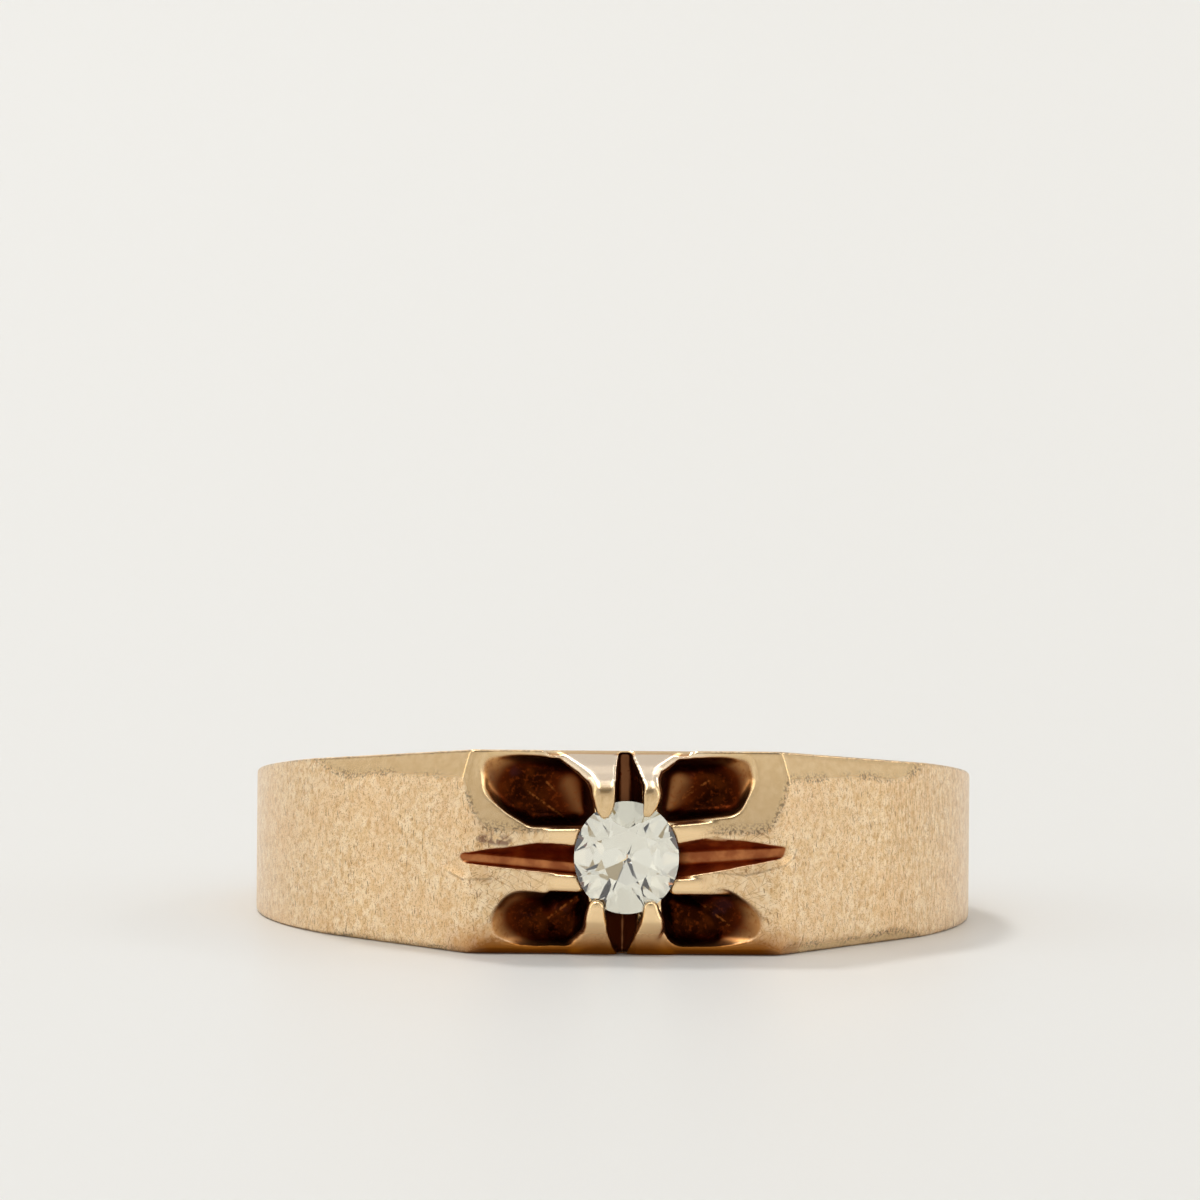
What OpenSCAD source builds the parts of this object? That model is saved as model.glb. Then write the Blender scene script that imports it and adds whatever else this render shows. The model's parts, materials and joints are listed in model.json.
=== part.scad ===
// A belcher ring: a gold band that widens to a flat carved head, in which eight claws cut
// from the band's own metal hold one old cut diamond. The ring lies on its lower side, with
// the stone to the front (-Y) and the finger hole upright.

/* [Band] */
// Diameter of the finger hole
finger_d = 18.9; // [17:0.1:20]
// Thickness of the band at its sides and back
band_t = 1.05; // [0.8:0.05:1.3]
// Width of the band half way round, at its sides
side_w = 4.16; // [3.8:0.02:4.6]
// Angle at which each side face leans in, so that the band narrows to the back
taper = 4.75; // [3.5:0.05:5]

/* [Head] */
// Width of the flat front, from shoulder to shoulder
front_w = 8.8; // [8.4:0.1:9.4]
// How far the flat front stands out past the round of the band
front_out = 0.31; // [0.2:0.01:0.4]
// Height above the stone's middle at which the upper cove starts
cove_start = 0.65; // [0.5:0.05:0.9]
// How far the cove leans back at the upper edge
cove_depth = 0.5; // [0.3:0.05:0.6]
// Depth of the four scoops beside the stone
scoop_depth = 0.95; // [0.6:0.05:1]
// Depth of the four slits at the stone
slit_depth = 0.6; // [0.4:0.05:0.7]
// Thickness of a claw
claw_d = 0.44; // [0.36:0.02:0.5]

/* [Stone] */
// Width of the stone across the finger
stone_w = 3.02; // [2.9:0.02:3.1]
// Height of the stone along the finger
stone_h = 3.25; // [3.1:0.05:3.3]
// How far the stone's middle lies below the middle of the head
stone_drop = 0.14; // [0:0.02:0.2]
// Share of the stone's width that its table takes
table_share = 0.5; // [0.45:0.01:0.6]
// Height of the crown above the girdle
crown_h = 0.45; // [0.35:0.05:0.5]
// Depth of the pavilion below the girdle
pavilion_h = 1.2; // [1:0.05:1.25]

/* [Hidden] */
$fn = 96;

// Room between the stone and the metal
gap = 0.03;
// How far a cutter runs past the face that it cuts
over = 1;

bore_r = finger_d / 2;
band_r = bore_r + band_t;
face_y = -(band_r + front_out);
corner_x = front_w / 2;
half_w = side_w / 2;
lean = tan(taper);

// The shoulders run straight from the corners of the front to the round of the band, and
// end this much inside it, so that the two join cleanly
meet_in = 0.1;
corner_r = norm([corner_x, face_y]);
meet_r = band_r - meet_in;
meet_angle = atan(corner_x / -face_y) + acos(meet_r / corner_r);
meet = meet_r * [sin(meet_angle), -cos(meet_angle)];
shoulder_turn = atan2(meet[1] - face_y, meet[0] - corner_x);

// Where the stone's girdle lies in front of the face, and its middle
girdle_y = face_y - 0.12;
girdle_t = 0.06;
stone_z = -stone_drop;

// Half the width of the band at a place y
function half_at(y) = half_w - lean * y;

// Outermost points of the ring as it lies, for the place of its origin
front_most = (girdle_y - crown_h) * cos(taper) + (stone_z - stone_h * table_share / 2) * sin(taper);
back_most = band_r * cos(taper) + half_at(band_r) * sin(taper);

// The four scoops: discs [x, z, radius] from the stone's middle that its rim runs round, and
// the place [x, z] where the valley along its floor runs out
scoops = [
    [[[-1.35, 1.32, 0.45], [-1.80, 2.15, 0.72], [-2.60, 1.50, 0.63], [-3.55, 2.25, 0.62]], [-3.1, 2.0]],
    [[[1.30, 1.40, 0.42], [1.65, 2.25, 0.66], [2.80, 1.75, 0.55], [3.15, 2.25, 0.60]], [2.8, 2.1]],
    [[[-1.45, -1.30, 0.42], [-1.85, -1.95, 0.65], [-2.85, -1.60, 0.62], [-3.35, -1.85, 0.60]], [-3.0, -2.0]],
    [[[1.30, -1.40, 0.42], [1.70, -1.95, 0.65], [2.60, -1.45, 0.58], [3.35, -1.85, 0.60]], [3.1, -2.0]]
];
// The bevels along the shoulders: 1 if it is on the left, 1 if it is on the lower edge, the
// height of its crease at the front, and the angles at which the crease rises and it leans in
bevels = [
    [1, 0, 1.97, 1.1, 17],
    [0, 0, 1.97, 1.1, 17],
    [1, 1, 2.80, -2.4, 22],
    [0, 1, 2.62, -2.8, 22]
];
// Where each claw's tip lies on the stone and where its root leaves the face, from the
// stone's middle: [tip x, tip z, root x, root z]
claws = [
    [-0.59, 1.12, -0.68, 2.10],
    [0.53, 1.16, 0.68, 2.10],
    [-1.26, 0.57, -2.15, 0.60],
    [1.29, 0.62, 2.15, 0.78],
    [-1.28, -0.72, -2.15, -0.70],
    [1.30, -0.74, 2.15, -0.72],
    [-0.82, -1.22, -0.88, -2.00],
    [0.72, -1.28, 0.76, -2.00]
];
// The slits: turn about the stone, width of the floor, depth of the floor behind the face
// at the stone and at the outer end, and how much one wall leans out for each mm of depth
slits = [
    [180, 0.32, slit_depth, 0.42, 0.42],
    [3, 0.34, slit_depth + 0.16, 0.34, 0.46],
    [90, 0.30, slit_depth + 0.06, 0.60, 0.50],
    [-90, 0.04, slit_depth, 0.28, 0.80]
];

// Stands a shape that was drawn on the band's upright axis on its lower side, with the
// origin at the middle of the footprint
module lay_down() {
    translate([0, -(front_most + back_most) / 2, half_w * cos(taper)])
        rotate([-taper, 0, 0])
            children();
}

// Turns a shape drawn flat, with its height along Z, to face the front
module on_face() {
    translate([0, face_y, stone_z])
        rotate([90, 0, 0])
            children();
}

// The band's plan: the round, and the straight shoulders with the flat front
module plan_form(height) {
    cylinder(r = band_r, h = height, center = true);
    linear_extrude(height = height, center = true)
        polygon([
            [0, 0],
            [-meet[0], meet[1]],
            [-corner_x, face_y],
            [corner_x, face_y],
            [meet[0], meet[1]]
        ]);
}

// The space between the two side faces, which lean towards each other at the back
module side_faces() {
    front = face_y - over;
    back = band_r + over;
    rotate([90, 0, 90])
        linear_extrude(height = 4 * band_r, center = true)
            polygon([
                [front, -half_at(front)],
                [back, -half_at(back)],
                [back, half_at(back)],
                [front, half_at(front)]
            ]);
}

// A flat bevel along one shoulder, with its crease at a height z, rising by an angle
// towards the back and leaning in by another
module shoulder_bevel(z, rise, tilt) {
    size = 14;
    translate([corner_x, face_y, z])
        rotate([0, 0, shoulder_turn])
            rotate([0, -rise, 0])
                rotate([-tilt, 0, 0])
                    translate([-size / 4, -size, 0])
                        cube([size, size, size]);
}

// The hollow cove that leans the upper part of the head back
module upper_cove() {
    r = 6;
    low = [face_y, stone_z + cove_start];
    high = [face_y + cove_depth, half_at(face_y)];
    chord = norm(high - low);
    out = sqrt(r * r - chord * chord / 4);
    along = (high - low) / chord;
    centre = (low + high) / 2 + out * [-along[1], along[0]];
    translate([0, centre[0], centre[1]])
        rotate([0, 90, 0])
            cylinder(r = r, h = front_w + 2 * over, center = true);
}

// The bevel along the lower edge of the head
module lower_bevel() {
    size = 12;
    translate([0, face_y, -half_at(face_y) + 0.5])
        rotate([18, 0, 0])
            translate([-size / 2, -size, -size])
                cube([size, size, size]);
}

// One scoop: a steep rim round its discs, and a floor of two slopes that meet in a valley,
// which is deepest at the stone
module scoop(rim, valley_end) {
    thin = 0.02;
    proud = 0.3;
    rim_depth = 0.42;
    start = rim[0];
    on_face()
        hull() {
            for (disc = rim)
                translate([disc[0], disc[1], -rim_depth])
                    cylinder(r = disc[2], h = rim_depth + proud, $fn = 32);
            translate([0.92 * start[0], 0.92 * start[1], -scoop_depth])
                cylinder(r = 0.04, h = thin, $fn = 16);
            translate([valley_end[0], valley_end[1], -0.75 * scoop_depth])
                cylinder(r = 0.03, h = thin, $fn = 16);
        }
}

// One slit: a groove with a flat floor and leaning walls, which ends where its floor comes
// out of the shoulder or the edge
module slit(turn, floor_w, depth, end_depth, flare) {
    proud = 0.8;
    length = corner_x + over;
    run = stone_w / 2 - gap;
    top = depth + proud;
    on_face()
        rotate([0, 0, turn])
            translate([0, 0, -depth])
                rotate([90 - atan((depth - end_depth) / (length - run)), 0, 90])
                    linear_extrude(height = length)
                        polygon([
                            [-floor_w / 2, 0],
                            [floor_w / 2, 0],
                            [floor_w / 2 + flare * top, top],
                            [-floor_w / 2 - flare * top, top]
                        ]);
}

// One claw: a round finger of metal from the face up to its tip on the crown
module claw(tip_x, tip_z, root_x, root_z) {
    r = claw_d / 2;
    sunk = -0.35;
    height = 0.3;
    root = [root_x, root_z, sunk];
    tip = [tip_x, tip_z, height];
    along = tip - root;
    length = norm(along);
    root_r = 1.45 * r;
    on_face() {
        translate(root)
            rotate([0, acos(along[2] / length), atan2(along[1], along[0])])
                cylinder(r1 = root_r, r2 = 0.86 * r, h = length, $fn = 48);
        translate(tip)
            sphere(r = r, $fn = 48);
    }
}

// A ring of n corners round the stone's axis, r of its half width and at a height
function corners(n, r, height, grow, first = 0) = [
    for (i = [0 : n - 1])
        let (a = first + i * 360 / n)
        [(r * stone_w / 2 + grow) * cos(a), (r * stone_h / 2 + grow) * sin(a), height]
];

// Height at which the kites between an inner corner and the girdle are flat
function kite_height(inner_r, inner_h, girdle_h, r) =
    inner_h - (r * cos(22.5) - inner_r) * (inner_h - girdle_h) / (1 - inner_r);

// Faces of the stone between two rings of 8 corners and one of 16: stars, kites and halves
function star_faces(inner, mid, outer, flip) = [
    for (i = [0 : 7])
        let (
            next = (i + 1) % 8,
            before = (i + 7) % 8,
            o = 2 * i,
            ahead = (o + 1) % 16,
            behind = (o + 15) % 16,
            set = [
                [inner + i, inner + next, mid + i],
                [inner + i, mid + i, outer + o],
                [inner + i, outer + o, mid + before],
                [mid + i, outer + ahead, outer + o],
                [mid + before, outer + o, outer + behind]
            ]
        )
        for (f = set) flip ? [f[2], f[1], f[0]] : f
];

// The cut stone, with its table to +Z and its girdle at height 0. It can be grown all
// round, for the seat that it lies in
module brilliant(grow = 0) {
    culet_share = 0.09;
    crown_r = 0.76;
    low_r = 0.42;
    rim_r = 1 / cos(11.25);
    girdle_n = 48;
    g = girdle_t / 2;
    points = concat(
        corners(8, table_share, crown_h + grow, grow),
        corners(8, crown_r, kite_height(table_share, crown_h, g, crown_r) + grow, grow, 22.5),
        corners(16, rim_r, g + grow, grow),
        corners(16, rim_r, -g - grow, grow),
        corners(8, low_r, -kite_height(culet_share, pavilion_h, g, low_r) - grow, grow, 22.5),
        corners(8, culet_share, -pavilion_h - grow, grow)
    );
    girdle_faces = [
        for (i = [0 : 15]) [16 + i, 16 + (i + 1) % 16, 32 + (i + 1) % 16, 32 + i]
    ];
    intersection() {
        polyhedron(points, concat(
            [[7, 6, 5, 4, 3, 2, 1, 0]],
            star_faces(0, 8, 16, false),
            girdle_faces,
            star_faces(56, 48, 32, true),
            [[56, 57, 58, 59, 60, 61, 62, 63]]
        ));
        linear_extrude(height = 4 * pavilion_h, center = true)
            polygon([for (c = corners(girdle_n, 1, 0, grow)) [c[0], c[1]]]);
    }
}

// The stone's place in the head
module in_head() {
    translate([0, girdle_y, stone_z])
        rotate([90, 0, 0])
            children();
}

// The one-piece band, with its carved head and claws
module band() {
    azure_r = 0.95;
    color("#d9b98a")
        lay_down()
            difference() {
                union() {
                    difference() {
                        intersection() {
                            plan_form(3 * side_w);
                            side_faces();
                        }
                        for (row = bevels)
                            mirror([row[0], 0, 0])
                                mirror([0, 0, row[1]])
                                    shoulder_bevel(row[2], row[3], row[4]);
                        upper_cove();
                        lower_bevel();
                        for (row = scoops)
                            scoop(row[0], row[1]);
                        for (row = slits)
                            slit(row[0], row[1], row[2], row[3], row[4]);
                    }
                    for (row = claws)
                        claw(row[0], row[1], row[2], row[3]);
                }
                cylinder(r = bore_r, h = 4 * side_w, center = true, $fn = 128);
                in_head()
                    brilliant(gap);
                in_head()
                    translate([0, 0, -2 * pavilion_h])
                        cylinder(r = azure_r, h = 2 * pavilion_h - 0.4);
            }
}

// The old cut diamond
module stone() {
    color("#eef0e2")
        lay_down()
            in_head()
                brilliant();
}

band();
stone();
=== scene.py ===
# %% [markdown]
# # A belcher ring, cut from one piece of gold
#
# The ring is a gold band that widens to a flat head. Four scoops and four slits are cut into
# the head round an old cut diamond, and what they leave between them are the eight claws.
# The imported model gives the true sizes. This lesson models the same ring again with the worn
# edges, the graver's marks and the finishes that the real one has.

# %% Load the frame
import json
import random
from math import acos, asin, atan, atan2, cos, degrees, hypot, pi, radians, sin, sqrt, tan
from types import SimpleNamespace

import bpy
import numpy as np
from mathutils import Euler, Matrix, Vector
from mathutils.bvhtree import BVHTree


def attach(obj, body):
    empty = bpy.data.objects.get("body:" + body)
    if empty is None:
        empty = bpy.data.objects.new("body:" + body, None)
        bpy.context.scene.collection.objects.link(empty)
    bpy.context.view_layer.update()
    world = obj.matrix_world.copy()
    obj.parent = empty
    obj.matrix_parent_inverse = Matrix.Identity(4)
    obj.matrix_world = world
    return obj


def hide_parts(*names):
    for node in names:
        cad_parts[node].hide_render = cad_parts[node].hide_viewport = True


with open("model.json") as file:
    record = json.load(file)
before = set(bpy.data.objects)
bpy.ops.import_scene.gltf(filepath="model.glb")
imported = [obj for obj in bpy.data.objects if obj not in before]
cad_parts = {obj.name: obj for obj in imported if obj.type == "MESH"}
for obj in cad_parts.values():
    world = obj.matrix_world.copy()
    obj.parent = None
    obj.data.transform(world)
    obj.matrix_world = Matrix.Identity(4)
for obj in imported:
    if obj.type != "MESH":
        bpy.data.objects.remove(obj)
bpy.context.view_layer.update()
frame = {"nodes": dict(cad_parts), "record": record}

# %% [markdown]
# The metal is worked on a bench whose unit is the millimetre, with the finger hole upright
# and its middle at the origin, because that is how a goldsmith's sizes are given. The record
# says where the finger hole is and how it leans as the ring lies on its side, so the way back
# from the bench to the frame is known from the start.

# %% Sizes from the frame, in mm
MM = 0.001
hole = next(mount for mount in frame["record"]["mounts"] if mount["name"] == "finger_hole")
HOLE_R = hole["dims"]["r_mm"]
LEAN = asin(hole["axis"][1])
LAY_DOWN = Matrix.Translation(Vector(hole["pos_m"]) / MM) @ Matrix.Rotation(-LEAN, 4, "X")


def on_bench(node):
    """Lowest and highest corner of a CAD node on the bench, in mm."""
    back = LAY_DOWN.inverted() @ Matrix.Scale(1 / MM, 4)
    places = np.array([back @ vertex.co for vertex in frame["nodes"][node].data.vertices])
    return Vector(places.min(0)), Vector(places.max(0))


band_high = on_bench("band")[1]
stone_low, stone_high = on_bench("stone")
BAND_R = band_high.x
HALF_W = hole["pos_m"][2] / MM / cos(LEAN)
STONE_W = stone_high.x - stone_low.x
STONE_H = stone_high.z - stone_low.z
STONE_Z = (stone_high.z + stone_low.z) / 2
# How far the stone's table stands out of the head's face, and the height of its crown, in mm
TABLE_OUT = 0.57
CROWN_H = 0.38
FACE_Y = stone_low.y + TABLE_OUT
GIRDLE_Y = stone_low.y + CROWN_H
PAVILION_H = stone_high.y - GIRDLE_Y
print(f"hole {2 * HOLE_R:.2f} mm, outside {2 * BAND_R:.2f} mm, leans {degrees(LEAN):.2f} degrees")
print(f"stone {STONE_W:.2f} x {STONE_H:.2f} x {CROWN_H + PAVILION_H:.2f} mm, face at {FACE_Y:.2f}")

# %% [markdown]
# ## Camera
#
# The photo was taken from far away with a long lens, a little above the ring and almost
# square to its head. The direction and the distance are set first, and the rest of the lesson
# is judged through this view.

# %% Camera at the photo's angle
# The photo's side in px, its scale at the ring in px per mm, and the camera's distance in mm
PHOTO = 1200
PX_PER_MM = 33.88
DISTANCE = 450
FOCAL_PX = PX_PER_MM * DISTANCE
# The camera's angles, and where the floor under the hole's middle lies in the photo, in px
PITCH, YAW, ROLL = (radians(angle) for angle in (6.66, 2.07, 0.66))
RING_AT_PX = (612.2, 911.4)


def aim_camera():
    """Places the camera so that the ring stands where it does in the photo."""
    place = DISTANCE * Vector((0, -cos(PITCH), sin(PITCH)))
    dx, dy = (pixel - PHOTO / 2 for pixel in RING_AT_PX)
    right_px = dx * cos(ROLL) + dy * sin(ROLL)
    down_px = dy * cos(ROLL) - dx * sin(ROLL)
    tilt = PITCH - atan(down_px / FOCAL_PX)
    turn = atan(right_px / FOCAL_PX)
    level = cos(tilt)
    forward = Vector((-sin(turn) * level, cos(turn) * level, -sin(tilt)))
    right = forward.cross(Vector((0, 0, 1))).normalized()
    up = right.cross(forward)
    rolled_right = right * cos(ROLL) + up * sin(ROLL)
    rolled_up = up * cos(ROLL) - right * sin(ROLL)
    axes = Matrix((rolled_right, rolled_up, -forward)).transposed().to_4x4()
    axes.translation = place
    axes = Matrix.Rotation(-YAW, 4, "Z") @ axes
    axes.translation += Vector((0, hole["pos_m"][1] / MM, 0))
    axes.translation *= MM
    bpy.ops.object.camera_add()
    camera = bpy.context.object
    camera.name = "camera"
    camera.matrix_world = axes
    camera.data.sensor_width = 36
    camera.data.lens = FOCAL_PX / PHOTO * camera.data.sensor_width
    camera.data.clip_start, camera.data.clip_end = 0.01, 10
    return camera


bpy.context.scene.camera = aim_camera()
print(f"lens {bpy.context.scene.camera.data.lens:.0f} mm, {DISTANCE} mm away")

# %% [markdown]
# ## A few hand tools
#
# Everything on the bench starts as a primitive and is shaped by operators. These helpers are
# the moves that repeat: select pieces, put a primitive down, run a modifier and apply it, cut
# one solid with another, copy a piece, run an operator in edit mode, and saw along a plane.

# %% Helpers for the bench
def select(*pieces):
    """Selects these pieces and nothing else, with the first one active."""
    if bpy.context.object and bpy.context.object.mode != "OBJECT":
        bpy.ops.object.mode_set(mode="OBJECT")
    bpy.ops.object.select_all(action="DESELECT")
    for piece in pieces:
        piece.select_set(True)
    bpy.context.view_layer.objects.active = pieces[0]


def put(kind, name, **place):
    """Adds a primitive at its size and place, and names it."""
    if bpy.context.selected_objects:
        bpy.ops.object.select_all(action="DESELECT")
    getattr(bpy.ops.mesh, f"primitive_{kind}_add")(**place)
    bpy.ops.object.transform_apply()
    piece = bpy.context.object
    piece.name = name
    return piece


def work(piece, kind, **settings):
    """Gives a piece one modifier and applies it."""
    select(piece)
    modifier = piece.modifiers.new(kind.title(), kind)
    for name, value in settings.items():
        setattr(modifier, name, value)
    bpy.ops.object.modifier_apply(modifier=modifier.name)
    return piece


def cut(piece, tool, operation="DIFFERENCE"):
    """Cuts a piece with a tool, or joins the two, and puts the tool away."""
    work(piece, "BOOLEAN", object=tool, operation=operation, solver="MANIFOLD")
    bpy.data.objects.remove(tool)
    return piece


def copy_of(piece, name):
    """A copy with its own mesh."""
    select(piece)
    bpy.ops.object.duplicate()
    twin = bpy.context.object
    twin.name = name
    return twin


def edit(piece, operator, **settings):
    """Runs a mesh operator on the whole of a piece in edit mode."""
    select(piece)
    bpy.ops.object.mode_set(mode="EDIT")
    bpy.ops.mesh.select_all(action="SELECT")
    getattr(bpy.ops.mesh, operator)(**settings)
    bpy.ops.object.mode_set(mode="OBJECT")
    return piece


def slice_off(piece, point, normal):
    """Saws off what lies on the normal's side of a plane and closes the cut."""
    return edit(piece, "bisect", plane_co=point, plane_no=normal, use_fill=True, clear_outer=True)


print("bench helpers ready")

# %% [markdown]
# ## The outer form of the band
#
# A goldsmith starts from a round band and a flat plate for the head. Here a cylinder and a
# block are joined: the block's sides are sawn along the shoulders, its two front corners are
# bevelled round, and the two leaning side faces are sawn last. The band narrows to the back
# because those two saw cuts lean towards each other.

# %% Round band with a flat head and straight shoulders
# Width of the flat front, bevel of its two corners, how far inside the round band the
# shoulders meet it, and height of the blanks, in mm
FRONT_W = 8.8
CORNER_SOFT = 0.5
MEET_IN = 0.04
TALL = 12
corner = Vector((FRONT_W / 2, FACE_Y, 0))
meet_r = BAND_R - MEET_IN
meet_angle = atan(corner.x / -corner.y) + acos(meet_r / corner.length)
meet = Vector((meet_r * sin(meet_angle), -meet_r * cos(meet_angle), 0))
shoulder_line = (meet - corner).normalized()
SHOULDER_TURN = atan2(shoulder_line.y, shoulder_line.x)

form = put("cylinder", "outer_form", vertices=360, radius=BAND_R, depth=TALL)
plate = put(
    "cube",
    "head_plate",
    size=1,
    location=(0, (FACE_Y + meet.y) / 2, 0),
    scale=(2 * meet.x, meet.y - FACE_Y, TALL),
)
for side in (-1, 1):
    outwards = (side * shoulder_line.y, -shoulder_line.x, 0)
    slice_off(plate, (side * corner.x, corner.y, 0), outwards)


def soften_corners(piece, near=0.01):
    """Bevels the upright edges at the two front corners of the plate."""
    select(piece)
    bpy.ops.object.mode_set(mode="EDIT")
    bpy.ops.mesh.select_mode(type="EDGE")
    bpy.ops.mesh.select_all(action="DESELECT")
    bpy.ops.object.mode_set(mode="OBJECT")
    for edge in piece.data.edges:
        ends = [piece.data.vertices[index].co for index in edge.vertices]
        edge.select = all(
            abs(abs(end.x) - corner.x) < near and abs(end.y - corner.y) < near for end in ends
        )
    bpy.ops.object.mode_set(mode="EDIT")
    bpy.ops.mesh.bevel(offset=CORNER_SOFT, segments=6, affect="EDGES")
    bpy.ops.object.mode_set(mode="OBJECT")


soften_corners(plate)
cut(form, plate, "UNION")


def trim_sides(piece):
    """Saws a piece off along the two leaning side faces."""
    for way in (-1, 1):
        slice_off(piece, (0, 0, way * HALF_W), (0, sin(LEAN), way * cos(LEAN)))
    return piece


trim_sides(form)
turned = degrees(SHOULDER_TURN)
print(f"outer form: {len(form.data.polygons)} faces, shoulders turn {turned:.1f} degrees")

# %% [markdown]
# ## Coves and bevels
#
# Along the shoulders flat bevels were filed, which end in creases. Above the stone the head
# leans back in a hollow cove, as a half-round file leaves it, and below it a narrow bevel
# turns under. A flat bevel is one saw cut along a plane, and a lying cylinder hollows the
# cove. The uncut form is kept, because it later tells the matt skin from the filed faces.

# %% Filed faces of the head
# The cove: radius, where it starts above the stone's middle, and depth at the edge, in mm
COVE_R = 14
COVE_START = 0.65
COVE_DEPTH = 0.5
# The narrow bevel under the head, and the turn below it: height in mm and tilt in degrees
UNDER = [(0.5, 18), (0.24, 48)]
# The bevels: side, upper or lower edge, crease height in mm, rise and tilt in degrees
BEVELS = [
    (-1, 1, 1.97, 1.1, 17),
    (1, 1, 1.97, 1.1, 17),
    (-1, -1, 2.80, -2.4, 22),
    (1, -1, 2.62, -2.8, 22),
]


def shoulder_bevel(piece, side, way, height, rise, tilt):
    """Files one flat bevel along a shoulder."""
    point = corner + Vector((0, 0, height))
    turned = Euler((-radians(tilt), -radians(rise), SHOULDER_TURN)).to_matrix()
    mirror = Matrix.Diagonal((side, 1, way))
    slice_off(piece, mirror @ point, mirror @ turned @ Vector((0, -1, 0)))


def half_height(y):
    """Half the height of the band at a place y."""
    return HALF_W - tan(LEAN) * y


def upper_cove():
    """The cylinder that hollows the cove, longer than the head is wide."""
    low = Vector((0, FACE_Y, STONE_Z + COVE_START))
    high = Vector((0, FACE_Y + COVE_DEPTH, half_height(FACE_Y)))
    chord = high - low
    out = sqrt(COVE_R**2 - chord.length_squared / 4)
    centre = (low + high) / 2 + out * Vector((0, -chord.z, chord.y)).normalized()
    lying = {"location": centre, "rotation": (0, pi / 2, 0)}
    return put("cylinder", "cove", vertices=360, radius=COVE_R, depth=FRONT_W + 2, **lying)


skin = copy_of(form, "skin")
for row in BEVELS:
    shoulder_bevel(skin, *row)
cut(skin, upper_cove())
under_y, under_z = FACE_Y, -half_height(FACE_Y)
for height, tilt in UNDER:
    tilt = radians(tilt)
    slice_off(skin, (0, under_y, under_z + height), (0, -cos(tilt), -sin(tilt)))
    under_y += tan(tilt) * (height - UNDER[-1][0])
print(f"skin: {len(skin.data.polygons)} faces")

# %% [markdown]
# ## Years of wear
#
# A worn ring has no sharp outer edge left. A voxel remesh gives the metal an even grain of
# small faces, and smoothing then rubs the edges down, just as a polishing wheel and years on
# a hand do. The finger hole is bored after that, so that its size stays true.

# %% Wear the outer edges down
# Size of the new faces, and how far the wear reaches, in mm
VOXEL = 0.04
WEAR = 0.12


def rub(piece, reach):
    """Smooths a remeshed piece about as far as a reach in mm."""
    passes = max(1, round(2 * (reach / VOXEL) ** 2))
    return work(piece, "SMOOTH", factor=0.5, iterations=passes)


def bored(piece):
    """Bores the finger hole."""
    return cut(piece, put("cylinder", "bore", vertices=360, radius=HOLE_R, depth=TALL))


work(skin, "REMESH", mode="VOXEL", voxel_size=VOXEL)
rub(skin, WEAR)
bored(skin)
bored(form)
print(f"worn skin: {len(skin.data.polygons)} faces of {VOXEL} mm")

# %% [markdown]
# ## Tools that move in a line
#
# A graver that moves in a line leaves the shape of a skin wrapped round its first and its last
# place. So most cuts, and the claws too, come from one helper that puts balls down, joins them
# and wraps a convex hull round them. Places are given as a setter gives them: across and up
# from the stone's middle, and out of the face.

# %% Wrapped shapes
def on_face(across, up, out=0.0):
    """A place given from the stone's middle: across the finger, up, and out of the face."""
    return Vector((across, FACE_Y - out, STONE_Z + up))


def wrap(name, balls, smoothness=24):
    """One solid wrapped round balls, each a place and three half sizes."""
    rings = smoothness // 2
    made = [
        put("uv_sphere", name, segments=smoothness, ring_count=rings, location=place, scale=sizes)
        for place, sizes in balls
    ]
    select(*made)
    bpy.ops.object.join()
    return edit(bpy.context.object, "convex_hull")


def swept(name, sections, smoothness=24):
    """Solids wrapped round the balls of each section and those of the next one."""
    return [wrap(name, near + far, smoothness) for near, far in zip(sections, sections[1:])]


def joined(tools):
    """Unites tools that overlap, so that the big piece is cut only once."""
    first, *rest = tools
    for tool in rest:
        cut(first, tool, "UNION")
    return first


print("stone's middle on the face, in mm:", [round(number, 2) for number in on_face(0, 0)])

# %% [markdown]
# ## Carving the scoops
#
# Each scoop is made of a few strokes of a round graver. Its balls stand on the metal's own
# surface, which a ray finds: deep beside the stone, shallow where the stroke begins. Two
# strokes that overlap leave the waist that the lower scoops show. The rims of the upper scoops
# are broken by a wider and flatter tool, because they catch the light as bright lines.

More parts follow.
